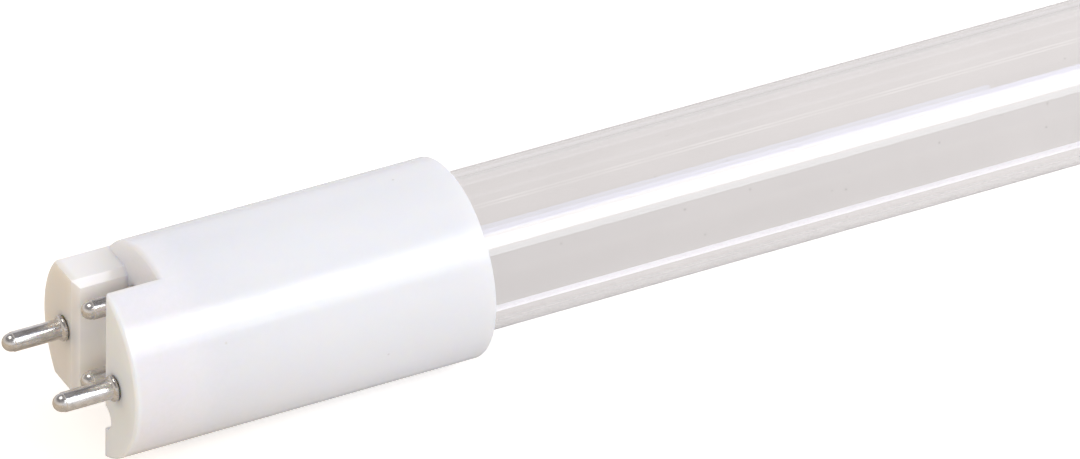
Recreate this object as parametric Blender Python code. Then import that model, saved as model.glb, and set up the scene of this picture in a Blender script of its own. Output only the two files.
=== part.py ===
"""Germicidal ultraviolet lamp tube with a four-pin base at one end.

The lamp lies along X. The faces of the base's two prongs are at x = 0, the
pins point to -X, the glass tube runs to +X, and the slot between the prongs
runs along Z, which is up. All lengths are metres.
"""
import math

import bmesh
import bpy
from mathutils import Vector

# Fits between neighbouring pieces
SEAT_GAP = 0.0003
WIRE_GAP = 0.00015
OVERCUT = 0.001

# Mesh tidying
MERGE_DISTANCE = 1e-7
FLAT_ANGLE = math.radians(0.1)

# Glass tube
OVERALL_LENGTH = 0.212
GLASS_RADIUS = 0.0095
GLASS_WALL = 0.001
GLASS_END_ROUNDING = 0.0012
GLASS_LIP = 0.0006
GLASS_SEGMENTS = 56

# Base shell
CEMENT_THICKNESS = 0.0006
BASE_WALL = 0.0013
BASE_LENGTH = 0.046
PRONG_LENGTH = 0.0068
WEB_THICKNESS = 0.003
LEAD_ROOM = 0.007
SLOT_HALF_WIDTH = 0.004
KEY_HALF_HEIGHT = 0.0076
KEY_FACE_CHAMFER = 0.0008
KEY_SIDE_CHAMFER = 0.0008
SLOT_EDGE_BREAK = 0.0002
GROOVE_RADIUS = 0.00165
GROOVE_DROP = 0.0056
FRONT_EDGE_RADIUS = 0.0002
REAR_EDGE_RADIUS = 0.0002
MOUTH_CHAMFER = 0.0005
BASE_SEGMENTS = 88

# Contact pins
PIN_RADIUS = 0.001175
PRONG_PIN_REACH = 0.0078
SLOT_PIN_REACH = 0.0068
PIN_NOSE = 0.0014
PIN_TAIL = 0.0016
PIN_BORE_RADIUS = 0.0006
PIN_BORE_DEPTH = 0.0045
COLLAR_RADIUS = 0.00155
COLLAR_THICKNESS = 0.0004
PRONG_LAND = 0.00105
FLOOR_LAND = 0.00035
INNER_PIN_RISE = 0.0049
PIN_SEGMENTS = 20

# Cement in the base and in the end cap
CEMENT_LENGTH = 0.015
CEMENT_SETBACK = 0.0009
CEMENT_SEGMENTS = 48

# Glass stem at each end of the tube
STEM_RADIUS = 0.0036
STEM_WALL = 0.0008
FLARE_LENGTH = 0.006
STEM_LENGTH = 0.012
PRESS_LENGTH = 0.0055
PRESS_HALF_WIDTH = 0.0042
PRESS_HALF_THICKNESS = 0.0014
EXHAUST_RADIUS = 0.0011
EXHAUST_BORE_RADIUS = 0.0005
EXHAUST_TIP = 0.0022
STEM_SEGMENTS = 24
BORE_SEGMENTS = 12

# Filaments and the wires that feed them
LEAD_RADIUS = 0.00025
LEAD_HALF_SPACING = 0.002
LEAD_BEND = 0.0016
FILAMENT_STANDOFF = 0.006
FILAMENT_HALF_SPAN = 0.0036
COIL_RADIUS = 0.00055
COIL_WIRE_RADIUS = 0.00014
COIL_TURNS = 9
COIL_PITCH = 0.0005
COIL_POINTS_PER_TURN = 8

# Return wires, which run outside the glass in thin insulating sleeves
RETURN_WIRE_RADIUS = 0.0002
SLEEVE_WALL = 0.00025
CHANNEL_GAP = 0.0003
RETURN_ANGLES = (math.radians(-36.5), math.radians(-92.0))
CEMENT_OPENING_MARGIN = math.radians(6.0)
SLEEVE_SEGMENTS = 12
WIRE_TURN_STEPS = 6

# End cap on the far end
CAP_LENGTH = 0.024
CAP_WALL = 0.0012
CAP_END_WALL = 0.003
CAP_ROOM = 0.0085
CAP_EDGE_RADIUS = 0.0015
CAP_CEMENT_LENGTH = 0.009
CAP_SEGMENTS = 64

# Mercury dose
BEAD_RADIUS = 0.0009
BEAD_HALF_HEIGHT = 0.0006
BEAD_OFFSET = 0.008

# Places that follow from the sizes above
BORE_RADIUS = GLASS_RADIUS + SEAT_GAP + CEMENT_THICKNESS + SEAT_GAP
BASE_RADIUS = BORE_RADIUS + BASE_WALL
CAP_RADIUS = BORE_RADIUS + CAP_WALL
CAVITY_X = PRONG_LENGTH + WEB_THICKNESS
GLASS_START = CAVITY_X + LEAD_ROOM
GLASS_END = OVERALL_LENGTH - CAP_END_WALL - CAP_ROOM
CAP_CAVITY_X = OVERALL_LENGTH - CAP_END_WALL
CAP_MOUTH_X = OVERALL_LENGTH - CAP_LENGTH
OUTER_PIN_OFFSET = SLOT_HALF_WIDTH + PRONG_LAND + COLLAR_RADIUS
INNER_PIN_OFFSET = SLOT_HALF_WIDTH - FLOOR_LAND - COLLAR_RADIUS
PIN_HOLE_RADIUS = PIN_RADIUS + SEAT_GAP
PIN_TAIL_X = CAVITY_X + PIN_TAIL
SLEEVE_BORE_RADIUS = RETURN_WIRE_RADIUS + WIRE_GAP
SLEEVE_RADIUS = SLEEVE_BORE_RADIUS + SLEEVE_WALL
RETURN_WIRE_REACH = GLASS_RADIUS + SEAT_GAP + SLEEVE_RADIUS
CHANNEL_RADIUS = SLEEVE_RADIUS + CHANNEL_GAP
FLARE_RADIUS = GLASS_RADIUS - GLASS_WALL - GLASS_LIP - SEAT_GAP
PRESS_END = STEM_LENGTH + PRESS_LENGTH
NEAR_FILAMENT_X = GLASS_START + PRESS_END + FILAMENT_STANDOFF
FAR_FILAMENT_X = GLASS_END - PRESS_END - FILAMENT_STANDOFF


def clear_scene():
    for item in list(bpy.data.objects):
        bpy.data.objects.remove(item, do_unlink=True)


def make_material(name, colour, roughness, metallic=0.0, transmission=0.0):
    material = bpy.data.materials.new(name)
    material.use_nodes = True
    shader = material.node_tree.nodes["Principled BSDF"]
    shader.inputs["Base Color"].default_value = (*colour, 1.0)
    shader.inputs["Roughness"].default_value = roughness
    shader.inputs["Metallic"].default_value = metallic
    shader.inputs["Transmission Weight"].default_value = transmission
    return material


def link_object(name, data, material=None):
    item = bpy.data.objects.new(name, data)
    bpy.context.scene.collection.objects.link(item)
    if material is not None:
        data.materials.append(material)
    return item


def close_mesh(name, bm, sharp_degrees=35.0):
    """Tidies a bmesh, turns its faces outward and returns it as smooth-shaded mesh data.

    Faces that lie in one plane are joined, so a flat end is one face for the cuts that cross it.
    """
    bmesh.ops.remove_doubles(bm, verts=bm.verts, dist=MERGE_DISTANCE)
    bmesh.ops.dissolve_degenerate(bm, edges=bm.edges, dist=MERGE_DISTANCE)
    bmesh.ops.dissolve_limit(bm, angle_limit=FLAT_ANGLE, verts=bm.verts, edges=bm.edges)
    bmesh.ops.recalc_face_normals(bm, faces=bm.faces)
    mesh = bpy.data.meshes.new(name)
    bm.to_mesh(mesh)
    bm.free()
    mesh.shade_smooth()
    mesh.set_sharp_from_angle(angle=math.radians(sharp_degrees))
    return mesh


def arc(centre_x, centre_r, radius, start_degrees, end_degrees, steps):
    """Points of a round corner in the plane of a turned profile."""
    points = []
    for step in range(steps + 1):
        angle = math.radians(start_degrees + (end_degrees - start_degrees) * step / steps)
        points.append((centre_x + radius * math.cos(angle), centre_r + radius * math.sin(angle)))
    return points


def lathe(name, profile, segments, closed=False):
    """Turns a profile of (x, radius) points about the X axis."""
    bm = bmesh.new()
    verts = [bm.verts.new((x, 0.0, radius)) for x, radius in profile]
    pairs = list(zip(verts, verts[1:]))
    if closed:
        pairs.append((verts[-1], verts[0]))
    edges = [bm.edges.new(pair) for pair in pairs]
    bmesh.ops.spin(
        bm,
        geom=verts + edges,
        cent=(0.0, 0.0, 0.0),
        axis=(1.0, 0.0, 0.0),
        angle=2.0 * math.pi,
        steps=segments,
        use_merge=True,
    )
    return close_mesh(name, bm)


def prism(name, outline, start, end, place):
    """Extrudes an outline of (u, v) points from start to end; place maps (u, v, w) to x, y and z."""
    bm = bmesh.new()
    face = bm.faces.new([bm.verts.new(place(u, v, start)) for u, v in outline])
    grown = bmesh.ops.extrude_face_region(bm, geom=[face])
    moved = [item for item in grown["geom"] if isinstance(item, bmesh.types.BMVert)]
    shift = Vector(place(0.0, 0.0, end)) - Vector(place(0.0, 0.0, start))
    bmesh.ops.translate(bm, verts=moved, vec=shift)
    return close_mesh(name, bm)


def along_x(u, v, w):
    return (w, u, v)


def along_z(u, v, w):
    return (u, v, w)


def make_cutter(name, mesh, location=(0.0, 0.0, 0.0)):
    cutter = link_object(name, mesh)
    cutter.location = location
    cutter.hide_render = True
    cutter.display_type = "WIRE"
    return cutter


def rod_cutter(name, radius, start, end, y, z, segments):
    """A round cutter along X, with its axis at (y, z)."""
    profile = [(start, 0.0), (start, radius), (end, radius), (end, 0.0)]
    return make_cutter(name, lathe(name, profile, segments), (0.0, y, z))


def apply_boolean(target, cutter, operation="DIFFERENCE"):
    modifier = target.modifiers.new(operation.lower() + "_" + cutter.name, "BOOLEAN")
    modifier.operation = operation
    modifier.object = cutter
    modifier.solver = "EXACT"


def rounded_route(corners, bend, steps=4):
    """Replaces each inner corner of a route by a short smooth bend."""
    points = [Vector(corners[0])]
    for before, corner, after in zip(corners, corners[1:], corners[2:]):
        before, corner, after = Vector(before), Vector(corner), Vector(after)
        reach = min(bend, 0.45 * (corner - before).length, 0.45 * (after - corner).length)
        entry = corner + (before - corner).normalized() * reach
        leave = corner + (after - corner).normalized() * reach
        for step in range(steps + 1):
            share = step / steps
            points.append(
                entry * (1.0 - share) ** 2
                + corner * 2.0 * share * (1.0 - share)
                + leave * share ** 2
            )
    points.append(Vector(corners[-1]))
    return points


def wire(name, points, radius, material, sides=1):
    """A round wire with closed ends along a list of points."""
    curve = bpy.data.curves.new(name, "CURVE")
    curve.dimensions = "3D"
    spline = curve.splines.new("POLY")
    spline.points.add(len(points) - 1)
    for target, point in zip(spline.points, points):
        target.co = (*point, 1.0)
    curve.bevel_depth = radius
    curve.bevel_resolution = sides
    curve.use_fill_caps = True
    return link_object(name, curve, material)


def around(angle, reach):
    """The (y, z) place at an angle from +Y towards +Z and a distance from the lamp's axis."""
    return (reach * math.cos(angle), reach * math.sin(angle))


def base_profile():
    """The base before its slot: prong face, side, rear edge, bore and web."""
    profile = [(0.0, 0.0)]
    profile += arc(FRONT_EDGE_RADIUS, BASE_RADIUS - FRONT_EDGE_RADIUS, FRONT_EDGE_RADIUS, 180, 90, 2)
    profile += arc(
        BASE_LENGTH - REAR_EDGE_RADIUS, BASE_RADIUS - REAR_EDGE_RADIUS, REAR_EDGE_RADIUS, 90, 0, 2
    )
    profile += [
        (BASE_LENGTH, BORE_RADIUS + MOUTH_CHAMFER * 0.5),
        (BASE_LENGTH - MOUTH_CHAMFER, BORE_RADIUS),
        (CAVITY_X, BORE_RADIUS),
        (CAVITY_X, 0.0),
    ]
    return profile


def prong_gap_outline():
    """Section of all that is cut away between and beside the prongs, as (y, z) points.

    The front prong keeps the full round of the base and has one groove in its
    slot wall. The back prong is a narrower key with a flat above and below.
    """
    beyond = BASE_RADIUS + OVERCUT
    groove = []
    for step in range(9):
        angle = math.radians(90.0 + 180.0 * step / 8)
        groove.append((
            -SLOT_HALF_WIDTH + GROOVE_RADIUS * math.cos(angle),
            -GROOVE_DROP + GROOVE_RADIUS * math.sin(angle),
        ))
    return [
        (-SLOT_HALF_WIDTH, beyond),
        *groove,
        (-SLOT_HALF_WIDTH, -beyond),
        (beyond, -beyond),
        (beyond, -KEY_HALF_HEIGHT),
        (SLOT_HALF_WIDTH + KEY_SIDE_CHAMFER, -KEY_HALF_HEIGHT),
        (SLOT_HALF_WIDTH, -KEY_HALF_HEIGHT + KEY_SIDE_CHAMFER),
        (SLOT_HALF_WIDTH, KEY_HALF_HEIGHT - KEY_SIDE_CHAMFER),
        (SLOT_HALF_WIDTH + KEY_SIDE_CHAMFER, KEY_HALF_HEIGHT),
        (beyond, KEY_HALF_HEIGHT),
        (beyond, beyond),
    ]


def edge_wedge(name, side, chamfer):
    """A cutter that bevels the edge between a prong's face and its slot wall."""
    wall = side * SLOT_HALF_WIDTH
    inside = side * (SLOT_HALF_WIDTH - chamfer)
    outline = [
        (-OVERCUT, inside),
        (chamfer, inside),
        (chamfer, wall),
        (-OVERCUT, wall + side * (chamfer + OVERCUT)),
    ]
    reach = BASE_RADIUS + OVERCUT
    return make_cutter(name, prism(name, outline, -reach, reach, along_z))


def pin_places():
    """Each pin's name, the face that it stands on, its reach from there, and its y and z."""
    return [
        ("front_prong_pin", 0.0, PRONG_PIN_REACH, -OUTER_PIN_OFFSET, 0.0),
        ("back_prong_pin", 0.0, PRONG_PIN_REACH, OUTER_PIN_OFFSET, 0.0),
        ("upper_slot_pin", PRONG_LENGTH, SLOT_PIN_REACH, INNER_PIN_OFFSET, INNER_PIN_RISE),
        ("lower_slot_pin", PRONG_LENGTH, SLOT_PIN_REACH, INNER_PIN_OFFSET, -INNER_PIN_RISE),
    ]


def make_base():
    material = make_material("white_base_moulding", (0.86, 0.86, 0.87), 0.28)
    base = link_object("base_shell", lathe("base_shell", base_profile(), BASE_SEGMENTS), material)
    gap = prism("prong_gap_cutter", prong_gap_outline(), -OVERCUT, PRONG_LENGTH, along_x)
    apply_boolean(base, make_cutter("prong_gap_cutter", gap))
    apply_boolean(base, edge_wedge("back_edge_cutter", 1.0, KEY_FACE_CHAMFER))
    apply_boolean(base, edge_wedge("front_edge_cutter", -1.0, SLOT_EDGE_BREAK))
    for name, face, _, y, z in pin_places():
        hole = rod_cutter(
            name + "_hole", PIN_HOLE_RADIUS, face - OVERCUT, CAVITY_X + OVERCUT, y, z, PIN_SEGMENTS
        )
        apply_boolean(base, hole)
    return base


def make_channels(base, cap):
    """Cuts the two grooves that let the sleeved wires pass between the glass and each end piece."""
    for index, angle in enumerate(RETURN_ANGLES):
        y, z = around(angle, RETURN_WIRE_REACH)
        start = GLASS_START - LEAD_ROOM * 0.5
        name = f"wire_channel_{index + 1}"
        channel = rod_cutter(name, CHANNEL_RADIUS, start, GLASS_END, y, z, SLEEVE_SEGMENTS)
        apply_boolean(base, channel)
        apply_boolean(cap, channel)


def pin_profile(reach, tail):
    """A hollow pin that stands on the plane x = 0: domed nose, collar, shank and solder bore."""
    profile = []
    for step in range(6):
        angle = math.radians(90.0 * step / 5)
        profile.append((
            -reach + PIN_NOSE * (1.0 - math.cos(angle)),
            PIN_RADIUS * math.sin(angle),
        ))
    bevel = COLLAR_THICKNESS * 0.4
    profile += [
        (-SEAT_GAP - COLLAR_THICKNESS, PIN_RADIUS),
        (-SEAT_GAP - COLLAR_THICKNESS, COLLAR_RADIUS - bevel),
        (-SEAT_GAP - COLLAR_THICKNESS + bevel, COLLAR_RADIUS),
        (-SEAT_GAP, COLLAR_RADIUS),
        (-SEAT_GAP, PIN_RADIUS),
        (tail, PIN_RADIUS),
        (tail, PIN_BORE_RADIUS),
        (tail - PIN_BORE_DEPTH, PIN_BORE_RADIUS),
        (tail - PIN_BORE_DEPTH - PIN_BORE_RADIUS * 0.5, 0.0),
    ]
    return profile


def make_pins():
    material = make_material("nickel_plated_pin", (0.62, 0.60, 0.57), 0.25, metallic=1.0)
    for name, face, reach, y, z in pin_places():
        mesh = lathe(name, pin_profile(reach, PIN_TAIL_X - face), PIN_SEGMENTS)
        pin = link_object(name, mesh, material)
        pin.location = (face, y, z)


def make_glass():
    """The envelope: a long tube whose ends turn inward to meet the stems."""
    material = make_material("clear_glass", (0.9, 0.9, 0.9), 0.05, transmission=0.9)
    rounding = GLASS_END_ROUNDING
    rim = GLASS_RADIUS - GLASS_WALL - GLASS_LIP
    inner = GLASS_RADIUS - GLASS_WALL
    outer_corner = GLASS_RADIUS - rounding
    profile = [(GLASS_START, rim)]
    profile += arc(GLASS_START + rounding, outer_corner, rounding, 180, 90, 4)
    profile += arc(GLASS_END - rounding, outer_corner, rounding, 90, 0, 4)
    profile += [
        (GLASS_END, rim),
        (GLASS_END - GLASS_WALL, rim),
        (GLASS_END - GLASS_WALL - GLASS_LIP, inner),
        (GLASS_START + GLASS_WALL + GLASS_LIP, inner),
        (GLASS_START + GLASS_WALL, rim),
    ]
    link_object("glass_tube", lathe("glass_tube", profile, GLASS_SEGMENTS, closed=True), material)


def flare_radius(share, wall):
    """Radius of the trumpet that joins the rim to the stem tube, share going from 0 to 1."""
    ease = (1.0 - share) ** 2.2
    return STEM_RADIUS + (FLARE_RADIUS - STEM_RADIUS) * ease - wall


def stem_profile(start, facing):
    """Trumpet flare and stem tube, from the tube's end inward."""
    steps = 6
    outer = []
    inner = []
    for step in range(steps + 1):
        share = step / steps
        outer.append((start + facing * FLARE_LENGTH * share, flare_radius(share, 0.0)))
        inner.append((start + facing * FLARE_LENGTH * share, flare_radius(share, STEM_WALL)))
    outer.append((start + facing * STEM_LENGTH, STEM_RADIUS))
    inner.append((start + facing * STEM_LENGTH, STEM_RADIUS - STEM_WALL))
    return outer + inner[::-1]


def press_outline():
    """The flattened press, a flat oval across the tube."""
    radius = PRESS_HALF_THICKNESS
    straight = PRESS_HALF_WIDTH - radius
    points = []
    for side, start in ((1.0, -90.0), (-1.0, 90.0)):
        for step in range(7):
            angle = math.radians(start + 180.0 * step / 6)
            points.append((side * straight + radius * math.cos(angle), radius * math.sin(angle)))
    return points


def make_stem(name, start, facing, material, bores):
    stem = link_object(
        name, lathe(name, stem_profile(start, facing), STEM_SEGMENTS, closed=True), material
    )
    press_start = start + facing * (STEM_LENGTH - STEM_WALL)
    press_end = start + facing * PRESS_END
    press = prism(name + "_press", press_outline(), press_start, press_end, along_x)
    apply_boolean(stem, make_cutter(name + "_press", press), "UNION")
    nose = EXHAUST_RADIUS * 0.6
    profile = [
        (start - facing * EXHAUST_TIP, 0.0),
        (start - facing * (EXHAUST_TIP - nose * 0.4), EXHAUST_RADIUS * 0.6),
        (start - facing * (EXHAUST_TIP - nose), EXHAUST_RADIUS),
        (press_start + facing * STEM_WALL * 0.5, EXHAUST_RADIUS),
        (press_start + facing * STEM_WALL * 0.5, 0.0),
    ]
    exhaust = make_cutter(name + "_exhaust_tube", lathe(name + "_exhaust_tube", profile, PIN_SEGMENTS))
    apply_boolean(stem, exhaust, "UNION")
    for bore in bores:
        apply_boolean(stem, bore)


def make_stems():
    material = make_material("stem_glass", (0.85, 0.88, 0.88), 0.08, transmission=0.85)
    lead_start = GLASS_START + STEM_LENGTH - OVERCUT - STEM_WALL
    lead_end = GLASS_END - STEM_LENGTH + OVERCUT + STEM_WALL
    bores = []
    for side, label in ((1.0, "back"), (-1.0, "front")):
        name = f"{label}_lead_bore"
        y = side * LEAD_HALF_SPACING
        bores.append(rod_cutter(name, LEAD_RADIUS + SEAT_GAP, lead_start, lead_end, y, 0.0, BORE_SEGMENTS))
    wall = EXHAUST_RADIUS - EXHAUST_BORE_RADIUS
    bores.append(rod_cutter(
        "exhaust_bore",
        EXHAUST_BORE_RADIUS,
        GLASS_START - EXHAUST_TIP + wall * 2.0,
        GLASS_END + EXHAUST_TIP - wall * 2.0,
        0.0,
        0.0,
        BORE_SEGMENTS,
    ))
    make_stem("near_stem", GLASS_START, 1.0, material, bores)
    make_stem("far_stem", GLASS_END, -1.0, material, bores)


def coil_points(centre_x):
    """A straight leg, the coil's turns about Y, and the second leg."""
    coil_half = 0.5 * COIL_TURNS * COIL_PITCH
    leg_end = FILAMENT_HALF_SPAN - LEAD_RADIUS - SEAT_GAP
    points = [Vector((centre_x + COIL_RADIUS, -leg_end, 0.0))]
    count = COIL_TURNS * COIL_POINTS_PER_TURN
    for step in range(count + 1):
        angle = 2.0 * math.pi * step / COIL_POINTS_PER_TURN
        points.append(Vector((
            centre_x + COIL_RADIUS * math.cos(angle),
            -coil_half + COIL_PITCH * step / COIL_POINTS_PER_TURN,
            COIL_RADIUS * math.sin(angle),
        )))
    points.append(Vector((centre_x + COIL_RADIUS, leg_end, 0.0)))
    return points


def make_filaments():
    material = make_material("coated_tungsten", (0.55, 0.55, 0.52), 0.6, metallic=0.6)
    wire("near_filament", coil_points(NEAR_FILAMENT_X), COIL_WIRE_RADIUS, material)
    wire("far_filament", coil_points(FAR_FILAMENT_X), COIL_WIRE_RADIUS, material)


def make_leads():
    """Lead wires: out of the pins or from the return wires, through the press, to the filament."""
    material = make_material("nickel_lead", (0.7, 0.68, 0.63), 0.35, metallic=1.0)
    past_coil = COIL_RADIUS + LEAD_RADIUS + SEAT_GAP
    for side, label in ((-1.0, "front"), (1.0, "back")):
        press_end = GLASS_START + PRESS_END
        near = [
            (PIN_TAIL_X - PIN_BORE_DEPTH * 0.6, side * OUTER_PIN_OFFSET, 0.0),
            (PIN_TAIL_X + LEAD_BEND, side * OUTER_PIN_OFFSET, 0.0),
            (GLASS_START + LEAD_BEND, side * LEAD_HALF_SPACING, 0.0),
            (press_end + LEAD_BEND * 0.5, side * LEAD_HALF_SPACING, 0.0),
            (NEAR_FILAMENT_X - LEAD_BEND, side * FILAMENT_HALF_SPAN, 0.0),
            (NEAR_FILAMENT_X + past_coil, side * FILAMENT_HALF_SPAN, 0.0),
        ]
        wire(f"near_lead_{label}", rounded_route(near, LEAD_BEND), LEAD_RADIUS, material)
        press_end = GLASS_END - PRESS_END
        far = [
            (GLASS_END + CAP_ROOM * 0.7, side * LEAD_HALF_SPACING, 0.0),
            (press_end - LEAD_BEND * 0.5, side * LEAD_HALF_SPACING, 0.0),
            (FAR_FILAMENT_X + LEAD_BEND, side * FILAMENT_HALF_SPAN, 0.0),
            (FAR_FILAMENT_X - past_coil, side * FILAMENT_HALF_SPAN, 0.0),
        ]
        wire(f"far_lead_{label}", rounded_route(far, LEAD_BEND), LEAD_RADIUS, material)


def turn_to_sleeve(side, start_x, end_x, end_angle):
    """A return wire's turn behind the web, from its slot pin round the bore's wall to its sleeve."""
    start_angle = side * math.atan2(INNER_PIN_RISE, INNER_PIN_OFFSET)
    start_reach = math.hypot(INNER_PIN_RISE, INNER_PIN_OFFSET)
    points = []
    for step in range(WIRE_TURN_STEPS + 1):
        share = step / WIRE_TURN_STEPS
        angle = start_angle + (end_angle - start_angle) * share
        reach = start_reach + (RETURN_WIRE_REACH - start_reach) * share
        points.append((start_x + (end_x - start_x) * share, *around(angle, reach)))
    return points


def make_return_wires():
    """Two wires from the slot pins, outside the glass, to the leads of the far filament."""
    copper = make_material("return_wire", (0.72, 0.70, 0.66), 0.35, metallic=1.0)
    plastic = make_material("clear_sleeve", (0.93, 0.92, 0.88), 0.35, transmission=0.3)
    weld_drop = LEAD_RADIUS + RETURN_WIRE_RADIUS + SEAT_GAP
    sleeve_start = GLASS_START + GLASS_END_ROUNDING
    sleeve_end = GLASS_END - GLASS_END_ROUNDING
    turn_start = PIN_TAIL_X + RETURN_WIRE_RADIUS * 4.0
    sides = (("upper", 1.0, RETURN_ANGLES[0]), ("lower", -1.0, RETURN_ANGLES[1]))
    for label, side, angle in sides:
        y, z = around(angle, RETURN_WIRE_REACH)
        weld_y = side * LEAD_HALF_SPACING
        corners = [
            (PIN_TAIL_X - PIN_BORE_DEPTH * 0.6, INNER_PIN_OFFSET, side * INNER_PIN_RISE),
            *turn_to_sleeve(side, turn_start, sleeve_start - LEAD_BEND, angle),
            (sleeve_end + LEAD_BEND, y, z),
            (GLASS_END + CAP_ROOM * 0.35, weld_y, -weld_drop),
            (GLASS_END + CAP_ROOM * 0.7, weld_y, -weld_drop),
        ]
        route = rounded_route(corners, LEAD_BEND, steps=2)
        wire(f"{label}_return_wire", route, RETURN_WIRE_RADIUS, copper)
        profile = [
            (sleeve_start, SLEEVE_RADIUS),
            (sleeve_end, SLEEVE_RADIUS),
            (sleeve_end, SLEEVE_BORE_RADIUS),
            (sleeve_start, SLEEVE_BORE_RADIUS),
        ]
        name = f"{label}_wire_sleeve"
        sleeve = link_object(name, lathe(name, profile, SLEEVE_SEGMENTS, closed=True), plastic)
        sleeve.location = (0.0, y, z)


def make_cement(name, start, end, material):
    """A ring of cement, left open across the part of the round where the sleeved wires pass."""
    inner = GLASS_RADIUS + SEAT_GAP
    outer = inner + CEMENT_THICKNESS
    first = RETURN_ANGLES[0] + CEMENT_OPENING_MARGIN
    last = RETURN_ANGLES[1] - CEMENT_OPENING_MARGIN + 2.0 * math.pi
    bm = bmesh.new()
    corners = ((start, inner), (end, inner), (end, outer), (start, outer))
    section = [bm.verts.new((x, *around(first, radius))) for x, radius in corners]
    face = bm.faces.new(section)
    bmesh.ops.spin(
        bm,
        geom=[face],
        cent=(0.0, 0.0, 0.0),
        axis=(1.0, 0.0, 0.0),
        angle=last - first,
        steps=CEMENT_SEGMENTS,
    )
    return link_object(name, close_mesh(name, bm), material)


def make_end_cap():
    material = make_material("white_cap_moulding", (0.86, 0.86, 0.87), 0.3)
    rounding = CAP_EDGE_RADIUS
    rim = REAR_EDGE_RADIUS
    profile = [(CAP_CAVITY_X, 0.0), (CAP_CAVITY_X, BORE_RADIUS)]
    profile += [
        (CAP_MOUTH_X + MOUTH_CHAMFER, BORE_RADIUS),
        (CAP_MOUTH_X, BORE_RADIUS + MOUTH_CHAMFER * 0.5),
    ]
    profile += arc(CAP_MOUTH_X + rim, CAP_RADIUS - rim, rim, 180, 90, 2)
    profile += arc(OVERALL_LENGTH - rounding, CAP_RADIUS - rounding, rounding, 90, 0, 5)
    profile.append((OVERALL_LENGTH, 0.0))
    return link_object("end_cap", lathe("end_cap", profile, CAP_SEGMENTS), material)


def make_mercury_bead():
    """The mercury dose, which lies on the glass just inside the base."""
    material = make_material("mercury", (0.8, 0.8, 0.8), 0.05, metallic=1.0)
    bm = bmesh.new()
    bmesh.ops.create_icosphere(bm, subdivisions=2, radius=BEAD_RADIUS)
    bmesh.ops.scale(bm, vec=(1.0, 1.0, BEAD_HALF_HEIGHT / BEAD_RADIUS), verts=bm.verts)
    bead = link_object("mercury_bead", close_mesh("mercury_bead", bm), material)
    depth = GLASS_RADIUS - GLASS_WALL - SEAT_GAP - BEAD_HALF_HEIGHT
    bead.location = (GLASS_START + BEAD_OFFSET, 0.0, -depth)


def main():
    clear_scene()
    base = make_base()
    cap = make_end_cap()
    make_channels(base, cap)
    make_pins()
    make_glass()
    make_stems()
    make_filaments()
    make_leads()
    make_return_wires()
    cement = make_material("basing_cement", (0.78, 0.76, 0.70), 0.9)
    base_end = BASE_LENGTH - CEMENT_SETBACK
    make_cement("base_cement", base_end - CEMENT_LENGTH, base_end, cement)
    cap_end = CAP_MOUTH_X + CEMENT_SETBACK
    make_cement("cap_cement", cap_end, cap_end + CAP_CEMENT_LENGTH, cement)
    make_mercury_bead()


main()
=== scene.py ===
"""Looks of a germicidal ultraviolet lamp tube with a slotted four-pin base.

The lamp lies along X over a pale studio floor. Its prong faces are at x = 0
and its pins point to -X. All lengths are metres.
"""

import math

import bmesh
import bpy
from mathutils import Matrix, Quaternion, Vector


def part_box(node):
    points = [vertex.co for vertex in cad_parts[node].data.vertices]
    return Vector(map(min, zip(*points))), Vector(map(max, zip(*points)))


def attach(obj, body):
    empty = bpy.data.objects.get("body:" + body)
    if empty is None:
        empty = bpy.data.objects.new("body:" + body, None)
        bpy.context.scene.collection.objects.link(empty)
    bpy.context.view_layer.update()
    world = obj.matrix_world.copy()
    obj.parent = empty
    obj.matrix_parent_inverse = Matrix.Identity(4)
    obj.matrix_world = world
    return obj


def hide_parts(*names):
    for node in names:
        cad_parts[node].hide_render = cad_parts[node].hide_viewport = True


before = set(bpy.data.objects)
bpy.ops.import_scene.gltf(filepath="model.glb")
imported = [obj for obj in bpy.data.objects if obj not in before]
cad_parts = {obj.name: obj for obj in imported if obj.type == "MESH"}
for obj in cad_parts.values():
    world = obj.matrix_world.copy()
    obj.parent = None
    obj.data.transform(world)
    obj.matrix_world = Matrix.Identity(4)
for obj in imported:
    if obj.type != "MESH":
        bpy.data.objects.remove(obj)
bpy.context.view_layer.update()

# Sizes read from the frame
BASE_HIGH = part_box("base_shell")[1]
CAP_LOW, CAP_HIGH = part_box("end_cap")
GLASS_LOW, GLASS_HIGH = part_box("glass_tube")
PIN_LOW, PIN_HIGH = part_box("front_prong_pin")
SLOT_PIN_LOW, SLOT_PIN_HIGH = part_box("upper_slot_pin")
BASE_RADIUS = BASE_HIGH.z
BASE_LENGTH = BASE_HIGH.x
CAP_RADIUS = CAP_HIGH.z
GLASS_RADIUS = GLASS_HIGH.z
OUTER_PIN_OFFSET = -(PIN_LOW.y + PIN_HIGH.y) / 2
INNER_PIN_OFFSET = (SLOT_PIN_LOW.y + SLOT_PIN_HIGH.y) / 2
INNER_PIN_RISE = (SLOT_PIN_LOW.z + SLOT_PIN_HIGH.z) / 2
PRONG_PIN_TIP_X = PIN_LOW.x
SLOT_PIN_TIP_X = SLOT_PIN_LOW.x
PIN_TAIL_X = PIN_HIGH.x

# Meshes
MERGE_DISTANCE = 1e-7
SHARP_ANGLE = math.radians(40.0)
CUT_ANGLE = math.radians(35.0)
OVERCUT = 0.001

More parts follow.
